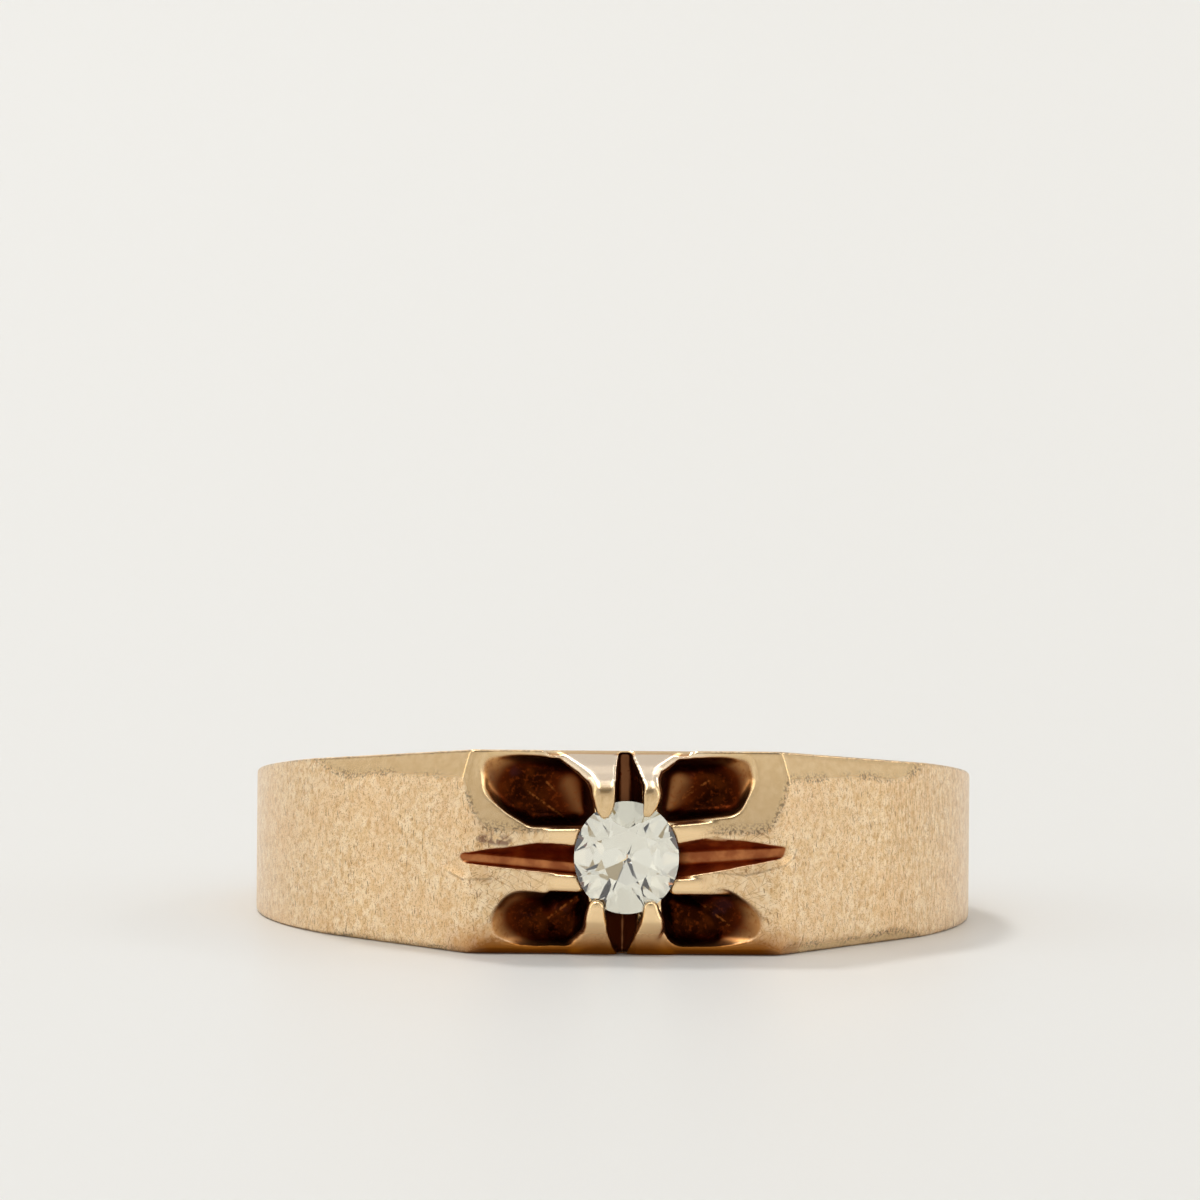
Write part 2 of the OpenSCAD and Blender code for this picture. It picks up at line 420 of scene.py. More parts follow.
# %% Four scoops, two shallow dishes and a nick
# The strokes of each: for each ball its place across and up from the stone's middle, its
# radius and its depth, in mm
SCOOPS = {
    "upper_left": [
        [
            (-1.36, 1.32, 0.43, 0.95),
            (-1.72, 2.08, 0.74, 0.85),
            (-2.60, 1.52, 0.64, 0.85),
            (-3.10, 1.75, 0.58, 0.60),
            (-3.50, 2.16, 0.64, 0.40),
            (-3.78, 2.52, 0.40, 0.22),
            (-2.90, 2.26, 0.68, 0.60),
        ]
    ],
    "upper_right": [
        [
            (1.32, 1.45, 0.42, 0.95),
            (1.62, 2.18, 0.66, 0.85),
            (2.40, 2.10, 0.75, 0.75),
            (2.85, 1.82, 0.60, 0.55),
            (3.12, 2.28, 0.58, 0.36),
            (3.32, 2.56, 0.34, 0.20),
        ]
    ],
    "lower_left": [
        [
            (-1.45, -1.26, 0.38, 0.95), (-1.86, -1.60, 0.70, 0.90),
            (-1.75, -2.00, 0.56, 0.75), (-2.50, -1.95, 0.60, 0.60),
        ],
        [
            (-3.00, -1.75, 0.78, 0.50),
            (-3.38, -1.95, 0.60, 0.26),
            (-2.40, -1.90, 0.68, 0.70),
            (-1.86, -1.75, 0.60, 0.85),
        ],
    ],
    "lower_right": [
        [
            (1.40, -1.32, 0.38, 0.95), (1.58, -1.48, 0.47, 0.90),
            (1.68, -2.00, 0.57, 0.80), (2.40, -1.90, 0.65, 0.70),
        ],
        [
            (2.70, -1.66, 0.78, 0.60),
            (3.44, -1.92, 0.58, 0.26),
            (2.20, -1.85, 0.72, 0.70),
            (1.75, -1.80, 0.60, 0.85),
        ],
    ],
    "left_dish": [
        [(-5.20, -0.24, 0.18, 0.03), (-4.66, -0.38, 0.28, 0.045)],
        [(-4.30, -0.44, 0.26, 0.045), (-3.75, -0.50, 0.16, 0.03)],
    ],
    "right_dish": [
        [(3.20, -0.36, 0.14, 0.03), (4.05, -0.16, 0.21, 0.045)],
        [(4.62, 0.02, 0.25, 0.045), (4.78, 0.12, 0.20, 0.04)],
    ],
    "nick": [[(2.35, 0.52, 0.13, 0.10), (2.80, 0.48, 0.10, 0.08)]],
}
# The broken edge round the upper scoops: width in mm and tilt
RIM = 0.07
RIM_TILT = radians(44)
SCOOP_SMOOTH = 64


def tree_of(piece):
    """A search tree of a piece's faces, for rays and for nearest places."""
    return BVHTree.FromObject(piece, bpy.context.evaluated_depsgraph_get())


def surface_at(tree, across, up):
    """The place and normal of the front surface straight behind a point of the face."""
    start = on_face(across, up, out=3)
    return tree.ray_cast(start, Vector((0, 1, 0)))[:2]


def scoop_ball(tree, across, up, radius, depth):
    """A ball that leaves a rim and a depth: standing off the metal if the scoop is shallow."""
    place, normal = surface_at(tree, across, up)
    if depth >= radius:
        return place, (radius, depth, radius)
    ball = (radius**2 + depth**2) / (2 * depth)
    return place + (ball - depth) * normal, (ball,) * 3


def rim_ball(tree, across, up, radius, depth):
    """A wider and flatter ball, which breaks the edge of a scoop."""
    wide = radius + RIM
    return scoop_ball(tree, across, up, wide, min(depth, wide * tan(RIM_TILT / 2)))


form_tree = tree_of(form)
skin_tree = tree_of(skin)
band = copy_of(skin, "carved_band")
for name, strokes in SCOOPS.items():
    tools = []
    for stroke in strokes:
        balls = [scoop_ball(skin_tree, *row) for row in stroke]
        tools.append(wrap(f"scoop_{name}", balls, SCOOP_SMOOTH))
    if name.startswith("upper"):
        tools.append(wrap("rim", [rim_ball(skin_tree, *row) for row in strokes[0]], SCOOP_SMOOTH))
    cut(band, joined(tools))
print(f"{len(SCOOPS)} scoops and dishes carved")

# %% [markdown]
# ## Raising the claws
#
# Between the scoops the metal is drawn up into fingers that are pushed over the stone. The top
# pair starts as a broad web, which runs out in a bevel filed along the upper edge, and has a
# knuckle where it bends towards the stone. The bottom pair are short round thumbs, and the side
# pairs are low mounds on the land between a scoop and a slit. Each claw is wrapped round two
# balls at every section, or four for the side ones, so it can be wider than it is thick.

# %% Eight claws
# Radius of the tiny balls that stand for sharp corners
POINT = 0.02
# Sections of each claw from its root to its tip: left and right edge, up, out of the face and
# thickness as a radius, and for the side ones the height, in mm
CLAWS = {
    "top_left": [
        (-2.30, -0.10, 3.10, -0.96, 0.14),
        (-1.46, -0.10, 2.51, -0.36, 0.18),
        (-1.18, -0.10, 2.24, -0.16, 0.22),
        (-1.08, -0.14, 2.02, 0.01, 0.26),
        (-1.06, -0.16, 1.88, 0.10, 0.28),
        (-1.05, -0.19, 1.82, 0.14, 0.28),
        (-1.03, -0.21, 1.76, 0.17, 0.28),
        (-1.00, -0.25, 1.69, 0.20, 0.27),
        (-0.97, -0.30, 1.58, 0.23, 0.25),
        (-0.92, -0.36, 1.42, 0.27, 0.22),
        (-0.80, -0.44, 1.24, 0.33, 0.17),
    ],
    "top_right": [
        (0.05, 1.90, 3.10, -0.96, 0.14),
        (0.05, 1.06, 2.51, -0.36, 0.18),
        (0.10, 0.97, 2.24, -0.16, 0.22),
        (0.17, 0.99, 2.02, 0.01, 0.26),
        (0.20, 1.02, 1.88, 0.10, 0.28),
        (0.22, 1.02, 1.82, 0.14, 0.28),
        (0.24, 1.01, 1.76, 0.17, 0.28),
        (0.28, 0.98, 1.69, 0.20, 0.27),
        (0.33, 0.93, 1.58, 0.23, 0.25),
        (0.38, 0.86, 1.45, 0.27, 0.22),
        (0.38, 0.74, 1.29, 0.33, 0.17),
    ],
    "bottom_left": [
        (-1.80, -0.10, -2.65, -0.47, 0.29),
        (-1.50, -0.25, -2.41, -0.23, 0.29),
        (-1.32, -0.38, -2.22, -0.07, 0.29),
        (-1.24, -0.46, -2.04, 0.06, 0.29),
        (-1.22, -0.50, -1.92, 0.12, 0.29),
        (-1.22, -0.54, -1.82, 0.17, 0.29),
        (-1.20, -0.57, -1.71, 0.20, 0.28),
        (-1.12, -0.60, -1.44, 0.25, 0.25),
    ],
    "bottom_right": [
        (0.10, 1.60, -2.65, -0.47, 0.29),
        (0.10, 1.14, -2.41, -0.23, 0.29),
        (0.20, 1.02, -2.22, -0.07, 0.29),
        (0.31, 1.09, -2.04, 0.06, 0.29),
        (0.36, 1.12, -1.92, 0.12, 0.29),
        (0.39, 1.10, -1.82, 0.17, 0.29),
        (0.42, 1.04, -1.71, 0.20, 0.28),
        (0.46, 0.94, -1.44, 0.25, 0.24),
    ],
    "left_upper": [(-3.30, -3.00, 0.52, -0.30, 0.13, 0.30), (-1.60, -1.22, 0.57, 0.07, 0.13, 0.28)],
    "left_lower": [(-3.30, -3.00, -0.70, -0.30, 0.13, 0.30), (-1.60, -1.24, -0.76, 0.07, 0.13, 0.26)],
    "right_upper": [(3.00, 3.30, 0.85, -0.34, 0.13, 0.30), (1.22, 1.60, 0.67, 0.07, 0.13, 0.34)],
    "right_lower": [(3.00, 3.30, -0.80, -0.30, 0.13, 0.30), (1.26, 1.60, -0.83, 0.07, 0.13, 0.22)],
}
# The web of the top claws: its slope, and a height and how far out of the face it is there
WEB_SLOPE = radians(46.5)
WEB_UP = 2.20
WEB_OUT = 0.196
# The bevel that it runs out in: left and right end, and height, of its lower and upper edge
WEB_EDGES = [(-1.9, 1.5, 2.60), (-2.6, 2.2, 3.30)]


def claw_section(left, right, up, out, radius, tall=0.0):
    """The balls of one section of a claw: two side by side, or four if it is tall as well."""
    heights = (up - tall / 2, up + tall / 2) if tall else (up,)
    places = [(across, height) for across in (left + radius, right - radius) for height in heights]
    return [(on_face(across, height, out), (radius,) * 3) for across, height in places]


def web_bevel():
    """What is filed off the upper edge, so that the web of the top claws runs out in it."""
    corners = []
    for left, right, up in WEB_EDGES:
        out = WEB_OUT - tan(WEB_SLOPE) * (up - WEB_UP)
        corners += [on_face(place, up, height) for place in (left, right) for height in (out, 1.0)]
    return wrap("web_bevel", [(place, (POINT,) * 3) for place in corners], 8)


cut(band, web_bevel())
for name, rows in CLAWS.items():
    parts = swept(f"claw_{name}", [claw_section(*row) for row in rows])
    cut(band, joined([trim_sides(part) for part in parts]), "UNION")
clawed_tree = tree_of(band)
print(f"{len(CLAWS)} claws raised")

# %% [markdown]
# ## Cutting the slits
#
# The slits run out from the stone like the arms of a cross. A flat graver cuts the side ones
# and the top one, so they have a flat floor, and a pointed one cuts the bottom one. Each is
# wrapped round tiny balls at the corners of its sections, because the walls lean differently
# at every place along it. Just under the face the walls of the top and bottom ones stand
# straight, so they cut clean through the claws' roots.

# %% Four slits
# Sections of each slit: how far out from the stone's middle, where the middle of the floor
# lies across the slit, its width, its depth, and how far each wall leans out, in mm
SLITS = {
    "left": [
        (1.2, -0.34, 0.34, 0.62, 0.44, 0.00),
        (2.5, -0.22, 0.32, 0.66, 0.46, 0.02),
        (3.6, -0.12, 0.30, 0.46, 0.20, 0.02),
        (4.3, -0.06, 0.30, 0.36, 0.06, 0.02),
        (4.86, -0.04, 0.22, 0.52, 0.02, 0.01),
    ],
    "right": [
        (1.2, -0.07, 0.38, 0.80, 0.20, 0.33),
        (2.4, 0.02, 0.36, 0.58, 0.36, 0.26),
        (3.4, 0.09, 0.34, 0.40, 0.24, 0.15),
        (4.2, 0.14, 0.30, 0.30, 0.10, 0.06),
        (4.72, 0.18, 0.24, 0.38, 0.02, 0.01),
    ],
    "top": [
        (1.2, -0.03, 0.38, 0.80, 0.27, 0.12),
        (2.1, -0.03, 0.36, 0.80, 0.32, 0.10),
        (2.6, -0.03, 0.34, 0.84, 0.12, 0.06),
        (2.97, -0.03, 0.32, 0.90, 0.03, 0.03),
    ],
    "bottom": [
        (1.2, -0.07, 0.04, 0.70, 0.38, 0.47),
        (2.1, -0.07, 0.04, 0.64, 0.33, 0.43),
        (2.6, -0.07, 0.04, 0.58, 0.13, 0.24),
        (2.9, -0.07, 0.04, 0.62, 0.02, 0.05),
    ],
}
# Each slit outwards and towards the first of its two walls on the face, and the height from
# which its walls stand straight
SLIT_WAYS = {
    "left": (Vector((-1, 0)), Vector((0, 1)), 0.0),
    "right": (Vector((1, 0)), Vector((0, 1)), 0.0),
    "top": (Vector((0, 1)), Vector((1, 0)), -0.3),
    "bottom": (Vector((0, -1)), Vector((1, 0)), -0.2),
}
# How far the cutting shapes stand out of the face, in mm
PROUD = 0.7


def slit_section(way, out, middle, floor_w, depth, lean_a, lean_b):
    """The balls at the corners of one section of a slit: floor, rim, and clear of the metal."""
    along, aside, straight = way
    corners = [
        (middle + floor_w / 2 - POINT, -depth + POINT),
        (middle - floor_w / 2 + POINT, -depth + POINT),
    ]
    for height in (straight, PROUD):
        corners.append((middle + floor_w / 2 + lean_a, height))
        corners.append((middle - floor_w / 2 - lean_b, height))
    return [
        (on_face(*(out * along + place * aside), out=height), (POINT,) * 3)
        for place, height in corners
    ]


for name, rows in SLITS.items():
    sections = [slit_section(SLIT_WAYS[name], *row) for row in rows]
    cut(band, joined(swept(f"slit_{name}", sections, 8)))
print(f"{len(SLITS)} slits cut")

# %% [markdown]
# ## The diamond
#
# An old cut stone is ground facet by facet on a flat lap, so it is modelled that way: a round
# blank is sawn by one plane for each facet. The old cutter worked by eye, so every plane is
# off by a little, from a fixed random seed. The stone is a little taller than wide, so the
# round blank is pressed to its two widths at the end.

# %% Facets of the stone
# Girdle and the room round the stone, in mm, and table and culet as shares of the width
GIRDLE_T = 0.06
GAP = 0.03
TABLE = 0.50
CULET = 0.035
# Lean of the small facets against the main ones: by the table, above and below the girdle
STAR_LEAN = 0.62
UPPER_LEAN = 1.13
LOWER_LEAN = 1.04
# How far the cutter's eye is off: in degrees at most, and how much too deep on a radius of 1
OFF = 1.2
OFF_BELOW = 2.5
TOO_DEEP = (0.001, 0.008)
HAIR = 0.001
EYE = random.Random(7)


def facet(stone, around, from_axis, at_r, at_height, off=OFF):
    """Grinds one facet through a point, facing around the axis and leaning out from it."""
    around += radians(EYE.uniform(-off, off))
    from_axis += radians(EYE.uniform(-off, off) / 2)
    at_r -= EYE.uniform(*TOO_DEEP)
    point = Vector((at_r * cos(around), at_r * sin(around), at_height))
    out = sin(from_axis)
    normal = Vector((out * cos(around), out * sin(around), cos(from_axis)))
    slice_off(stone, point, normal)


def brilliant():
    """An old brilliant of radius 1 with its table up, and the girdle at height 0."""
    unit = 2 / STONE_W
    crown, pavilion, rim = CROWN_H * unit, PAVILION_H * unit, GIRDLE_T / 2 * unit
    crown_lean = atan2(crown - rim, 1 - TABLE)
    pavilion_lean = pi - atan2(pavilion - rim, 1 - CULET)
    stone = put("cylinder", "diamond", vertices=64, radius=1, depth=2 * pavilion)
    slice_off(stone, (0, 0, crown), (0, 0, 1))
    slice_off(stone, (0, 0, 2 * HAIR - pavilion), (0, 0, -1))
    eighth = pi / 4
    for i in range(8):
        facet(stone, i * eighth, crown_lean, 1, rim)
        facet(stone, (i + 0.5) * eighth, STAR_LEAN * crown_lean, TABLE * cos(eighth / 2), crown)
        facet(stone, i * eighth, pavilion_lean, 1, -rim, off=OFF_BELOW)
        for half in (-0.25, 0.25):
            turn = (i + half) * eighth
            facet(stone, turn, UPPER_LEAN * crown_lean, 1, rim)
            facet(stone, turn, pi - LOWER_LEAN * (pi - pavilion_lean), 1, -rim)
    slice_off(stone, (0, 0, HAIR - pavilion), (0, 0, -1))
    return edit(stone, "remove_doubles", threshold=HAIR / 2)


def in_head(stone, grow=0.0):
    """Presses the stone to its size, with room all round, and sets it in the head."""
    wide, tall = STONE_W / 2 + grow, STONE_H / 2 + grow
    press = Matrix.Diagonal((wide, tall, wide, 1))
    lift = Matrix.Translation((0, GIRDLE_Y, STONE_Z)) @ Matrix.Rotation(pi / 2, 4, "X")
    select(stone)
    stone.matrix_world = lift @ press
    bpy.ops.object.transform_apply()
    return stone


diamond = brilliant()
seat = in_head(copy_of(diamond, "seat"), GAP)
in_head(diamond)
size = diamond.dimensions
print(f"diamond: {len(diamond.data.polygons)} facets, {size.x:.2f} x {size.z:.2f} mm")

# %% [markdown]
# ## Setting the stone
#
# The seat is the stone's own shape, a hair larger, and a round hole behind it lets light in
# through the back, as setters drill it. The bored hole is cut again, for the claws' roots.
# A second remesh at the same grain joins all the cuts into one skin, and a light rub takes the
# sharpness off the rims that only polishing can reach.

# %% Seat, hole behind the stone and last polish
# Radius of the hole behind the stone, how far behind the girdle it begins, and how far the
# polish reaches, in mm
AZURE_R = 0.95
AZURE_IN = 0.4
POLISH = 0.09
azure_start = GIRDLE_Y + AZURE_IN
azure_y = (azure_start + FACE_Y + TALL) / 2
azure = put(
    "cylinder",
    "azure",
    vertices=64,
    radius=AZURE_R,
    depth=2 * (azure_y - azure_start),
    location=(0, azure_y, STONE_Z),
    rotation=(pi / 2, 0, 0),
)
cut(band, seat)
cut(band, azure)
bored(band)
work(band, "REMESH", mode="VOXEL", voxel_size=VOXEL)
rub(band, POLISH)
print(f"carved band: {len(band.data.polygons)} faces of {VOXEL} mm")

# %% [markdown]
# ## Thinning the mesh
#
# An even grain spends as many faces on the plain back as on the claws. Collapsing the edges
# that carry least shape brings the band to under 200,000 triangles, and the head keeps most
# of them. The fine mesh's normals are then laid over the thinner one, so that the light runs
# over it as smoothly as before.

# %% Fewer faces with the fine mesh's shading
TRIANGLES = 185000
# How far round a vertex its sharpness is judged, in mm
EDGE_REACH = 0.06


def convexity(piece, reach):
    """How far each vertex stands proud of the same piece rubbed further down, in mm."""
    mesh = piece.data
    count = len(mesh.vertices)
    sharp, normal, soft = (np.empty(3 * count) for _ in range(3))
    mesh.vertices.foreach_get("co", sharp)
    mesh.vertices.foreach_get("normal", normal)
    worn = rub(copy_of(piece, "worn_copy"), reach)
    worn.data.vertices.foreach_get("co", soft)
    bpy.data.objects.remove(worn)
    return ((sharp - soft) * normal).reshape(-1, 3).sum(1)


def keep(piece, name, values):
    """Keeps one number for each vertex as an attribute that the finish reads."""
    layer = piece.data.attributes.new(name, "FLOAT", "POINT")
    layer.data.foreach_set("value", np.asarray(values, np.float32))


keep(band, "edge", convexity(band, EDGE_REACH))
select(band)
bpy.ops.object.shade_smooth()
fine = copy_of(band, "fine_copy")
work(band, "TRIANGULATE")
work(band, "DECIMATE", ratio=TRIANGLES / len(band.data.polygons))
work(
    band,
    "DATA_TRANSFER",
    object=fine,
    use_loop_data=True,
    data_types_loops={"CUSTOM_NORMAL"},
    loop_mapping="POLYINTERP_NEAREST",
)
bpy.data.objects.remove(fine)
print(f"thinned band: {len(band.data.polygons)} faces")

# %% [markdown]
# ## Where each finish lies
#
# The finish depends on how deep the metal lies under the surfaces that the work passed
# through: under the outer form it was filed, under the worn skin it was carved and holds dark
# oxide, and under the raised claws it was slit. Each vertex keeps those depths, how far it is
# from the band's two edges and from the wall of the finger hole, and the materials read them.

# %% Depths under the earlier surfaces
def depth_below(places, tree):
    """How far places lie under a surface in mm, and the nearest places on that surface."""
    nearest = [tree.find_nearest(place)[:2] for place in places]
    depths = [(on - place).dot(normal) for place, (on, normal) in zip(places, nearest)]
    return depths, [on for on, normal in nearest]


corners = [vertex.co.copy() for vertex in band.data.vertices]
carved, on_skin = depth_below(corners, skin_tree)
keep(band, "carved", carved)
keep(band, "filed", depth_below(on_skin, form_tree)[0])
keep(band, "rim", [half_height(corner.y) - abs(corner.z) for corner in corners])
keep(band, "slit", depth_below(corners, clawed_tree)[0])
keep(band, "bore", [hypot(corner.x, corner.y) - HOLE_R for corner in corners])
print("numbers kept:", [layer.name for layer in band.data.attributes if layer.data_type == "FLOAT"])

# %% [markdown]
# ## Into the frame
#
# One matrix lays the ring on its side. Applying it leaves the place in the mesh, so each object
# sits at the origin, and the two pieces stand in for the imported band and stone.

# %% Lay both pieces in the frame
def lay(piece):
    """Takes a piece from the bench to the frame, with its place in its mesh."""
    select(piece)
    piece.matrix_world = Matrix.Scale(MM, 4) @ LAY_DOWN
    bpy.ops.object.transform_apply()
    return piece


for piece in (band, diamond):
    lay(piece)
for piece in (form, skin):
    bpy.data.objects.remove(piece)
select(band)
bpy.ops.object.shade_smooth()
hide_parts("band")
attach(band, "root")
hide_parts("stone")
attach(diamond, "root")
print(f"laid down: {band.name} and {diamond.name}")

# %% [markdown]
# ## Tools for the finishes
#
# Colours are written as they are picked, as sRGB hex, and turned to linear here. A material
# is a chain of nodes, so one helper adds a node, sets its options and links its inputs. A
# finish is then thought of in coats, as a painter would: each coat is a colour and the zone
# where it lies, and a zone is a product of soft steps.

# %% Colour and node helpers
def hex_color(code):
    """A linear colour from an sRGB hex value."""
    parts = [int(code[i : i + 2], 16) / 255 for i in (1, 3, 5)]
    return (*(c / 12.92 if c <= 0.04045 else ((c + 0.055) / 1.055) ** 2.4 for c in parts), 1.0)


def add_node(tree, kind, inputs=None, **options):
    """Adds a node with its options, and sets or links each input by name or number."""
    node = tree.nodes.new(f"ShaderNode{kind}")
    for name, value in options.items():
        setattr(node, name, value)
    for name, value in (inputs or {}).items():
        if isinstance(value, bpy.types.NodeSocket):
            tree.links.new(value, node.inputs[name])
        else:
            node.inputs[name].default_value = value
    return node


def zone(tree, *steps):
    """A mask: the product of values and of soft steps, each a value, its limits and its results."""
    mask = None
    for step in steps:
        if isinstance(step, tuple):
            smooth = {"interpolation_type": "SMOOTHSTEP"}
            step = add_node(tree, "MapRange", dict(enumerate(step)), **smooth).outputs[0]
        if mask is None:
            mask = step
        else:
            mask = add_node(tree, "Math", {0: mask, 1: step}, operation="MULTIPLY").outputs[0]
    return mask


def paint(tree, color, *coats):
    """A colour with coats laid over it, each a colour and the steps of its zone."""
    if isinstance(color, str):
        color = hex_color(color)
    for coat, *steps in coats:
        if isinstance(coat, str):
            coat = hex_color(coat)
        sides = {0: zone(tree, *steps), 6: color, 7: coat}
        color = add_node(tree, "Mix", sides, data_type="RGBA").outputs[2]
    return color


def new_material(name):
    """An empty material and its node tree."""
    material = bpy.data.materials.new(name)
    material.use_nodes = True
    material.node_tree.nodes.clear()
    return material, material.node_tree


def dress(piece, material):
    """Gives a piece one material."""
    piece.data.materials.clear()
    piece.data.materials.append(material)


CARD_COLOR = "#e2e2df"
print("white card as linear colour:", [round(number, 3) for number in hex_color(CARD_COLOR)])

# %% [markdown]
# ## Worn 14 carat gold
#
# The alloy is gold with silver and copper, cast or rolled, then worn for decades: pale, warm
# and a little rosy, matt on the outside from thousands of fine scratches, brighter where the
# file and the burnisher left hollows that nothing rubs. The carving is dark, because sulphur
# and polish residue turned the metal brown to black where no cloth reaches. To the eye that
# means soft, broad reflections outside, thin bright lines along the rims, and deep brown
# mirrors inside the scoops.

# %% What the finish knows about each point
FACE_PLACE = MM * (LAY_DOWN @ Vector((0, FACE_Y, STONE_Z)))


def read_surface(tree):
    """Places from the stone's middle, depths and distances in mm, and the main zones."""
    spot = {
        "Vector": add_node(tree, "TexCoord").outputs["Object"],
        "Location": FACE_PLACE,
        "Rotation": (-LEAN, 0, 0),
        "Scale": (MM,) * 3,
    }
    place = add_node(tree, "Mapping", spot, vector_type="TEXTURE").outputs["Vector"]
    parts = add_node(tree, "SeparateXYZ", {0: place}).outputs
    at = SimpleNamespace(tree=tree, place=place, across=parts["X"], up=parts["Z"])
    at.sideways = add_node(tree, "Math", {0: at.across}, operation="ABSOLUTE").outputs[0]
    for name in ("carved", "filed", "rim", "slit", "bore", "edge"):
        setattr(at, name, add_node(tree, "Attribute", attribute_name=name).outputs["Fac"])
    at.edge = zone(tree, (at.edge, 0.014, 0.030))
    # Convex edges on the head: rubbed smoother, and painted paler as a painted highlight.
    at.bright = zone(tree, at.edge, (at.sideways, 4.5, 4.3))
    at.slit = zone(tree, (at.slit, 0.02, 0.06))
    at.front = zone(tree, (parts["Y"], 1.1, 0.7))
    middle = zone(tree, at.front, (at.sideways, 3.4, 1.4))
    unfiled = ((at.filed, 0.06, 0.015), (at.carved, -0.10, -0.03))
    at.matt = zone(tree, *unfiled, (middle, 1.0, 0.0), (at.bore, 0.02, 0.08, 0.35, 1.0))
    dark = {0: zone(tree, (at.carved, 0.05, 0.14)), 1: at.slit}
    dark = add_node(tree, "Math", dark, operation="MAXIMUM").outputs[0]
    # The strip along the head's lower edge gets painted shade: the warm dark reflection of the shadowed
    # card below it, laid on with the oxide's dark shader.
    height = ((at.up, -1.2, -1.8), (at.rim, 1.15, 0.10))
    at.low = zone(tree, *height, at.front, (at.sideways, 5.6, 3.8, 0.2, 1.0), (dark, 0.7, 0.0))
    at.oxide = add_node(tree, "Math", {0: dark, 1: at.low}, operation="MAXIMUM").outputs[0]
    return at


print("stone's middle in the frame, in mm:", [round(number / MM, 2) for number in FACE_PLACE])

# %% [markdown]
# ## Patterns sized in millimetres
#
# Wear shows as grains, scratches and the lines that a tool left. Noise makes the first two: a
# scratch is noise drawn out along one way and cut off high, so that only a few stay. The
# coordinates are in mm, so each pattern has a real size. The scratches of worn gold are about
# 0.01 mm wide and would not show, so they are drawn three to five times as wide.

# %% Grains, scratches and lines
def grain(at, size, detail=3.0, stretch=(1, 1, 1), turn=0.0):
    """Noise with grains of a size in mm, drawn out and turned on the face if need be."""
    drawn = {"Vector": at.place, "Rotation": (0, turn, 0), "Scale": [way * size for way in stretch]}
    mapped = add_node(at.tree, "Mapping", drawn, vector_type="TEXTURE").outputs["Vector"]
    noise = {"Vector": mapped, "Scale": 1.0, "Detail": detail}
    return add_node(at.tree, "TexNoise", noise).outputs["Fac"]


def scratches(at, turn, width, length, share):
    """Thin straight scratches of a width and length in mm, as 1 on a few of them."""
    lines = grain(at, width, 1.0, (1, 1, length / width), radians(turn))
    return zone(at.tree, (lines, 0.5 + share, 0.56 + share))


def line_mask(at, start, end, half_width):
    """1 on a straight line across the face, and 0 away from it."""
    tree = at.tree
    a, b = Vector((start[0], 0, start[1])), Vector((end[0], 0, end[1]))
    way = (b - a) / (b - a).length_squared
    flat = add_node(tree, "VectorMath", {0: at.place, 1: (1, 0, 1)}, operation="MULTIPLY").outputs[0]
    from_a = add_node(tree, "VectorMath", {0: flat, 1: a}, operation="SUBTRACT").outputs[0]
    along = add_node(tree, "VectorMath", {0: from_a, 1: way}, operation="DOT_PRODUCT").outputs["Value"]
    share = add_node(tree, "Clamp", {"Value": along}).outputs[0]
    nearest = add_node(tree, "VectorMath", {0: b - a, "Scale": share}, operation="SCALE").outputs[0]
    apart = add_node(tree, "VectorMath", {0: from_a, 1: nearest}, operation="DISTANCE").outputs["Value"]
    return zone(tree, (apart, half_width, 0.3 * half_width))


# Sets of scratches: turn in degrees, width and length in mm, and how rare they are
SCRATCHES = [
    (78, 0.035, 1.4, 0.13),
    (55, 0.035, 1.0, 0.14),
    (-62, 0.040, 1.2, 0.13),
    (-35, 0.035, 0.8, 0.15),
    (20, 0.035, 1.0, 0.15),
]
# Streaks that reach round the right shoulder, and short ticks that give the matt skin its nap
STREAKS = (4, 0.045, 1.0, 0.04)
TICKS = (-8, 0.055, 0.32, 0.17)
print(f"{len(SCRATCHES) + 2} sets of scratches")

# %% [markdown]
# ## The colour of the metal
#
# The bare alloy has one colour, but its fine scratches hold shade and skin grease, so the matt
# skin is laid in coats: pale and rosy grains, browner flecks, then the scratches. What was
# filed is smoother and more even, and its web above the stone is painted paler as a painted
# sheen. Convex edges on the head are painted paler too, as a painted highlight. Dark specks sit
# where the matt skin stops, and darker lines painted where the dishes at the ends of the slits
# begin are painted shade in those shallow creases.

# %% Coats of gold
SPECK = 0.07
# Half the width of the lines that a tool left
LINE = 0.045
# Darker lines painted where the dishes at the ends of the slits begin, as painted shade in those
# shallow creases: from, to, in mm on the face
DISH_EDGE_SHADE_LINES = [
    ((-5.42, -0.27), (-5.06, -0.50)),
    ((-5.06, -0.50), (-4.70, -0.68)),
    ((-4.70, -0.68), (-3.89, -0.65)),
    ((2.53, -0.42), (3.46, -0.50)),
    ((3.46, -0.50), (4.15, -0.33)),
    ((4.15, -0.33), (4.60, -0.22)),
    ((4.60, -0.22), (4.86, 0.00)),
    ((4.86, 0.00), (4.93, 0.24)),
]
# A dark scuff above the left slit: from, to and half its width, in mm
SCUFF = ((-4.15, 0.50), (-3.45, 0.44), 0.22)


def matt_color(at, fine):
    """The colour of the scratched, matt skin."""
    flecks = grain(at, 0.12, 4.0, (1, 1, 1.6), radians(12))
    ticks = scratches(at, *TICKS)
    streaks = scratches(at, *STREAKS)
    return paint(
        at.tree,
        "#eecd9c",
        ("#fde6c2", (fine, 0.32, 0.68)),
        ("#dcb27a", (grain(at, 0.55, 5.0), 0.42, 0.72, 0.0, 0.35)),
        ("#cf9c60", (flecks, 0.52, 0.68, 0.0, 0.6)),
        ("#f3cc9c", (grain(at, 2.2, 3.0), 0.4, 0.7, 0.0, 0.3)),
        *(("#ad7f4a", scratches(at, *row), 0.55) for row in SCRATCHES),
        ("#b08244", streaks, (at.across, 6.2, 8.4, 0.0, 0.35)),
        ("#8e6238", ticks, 0.7),
        ("#6e4028", line_mask(at, *SCUFF), (fine, 0.40, 0.55), at.front, 0.8),
    )


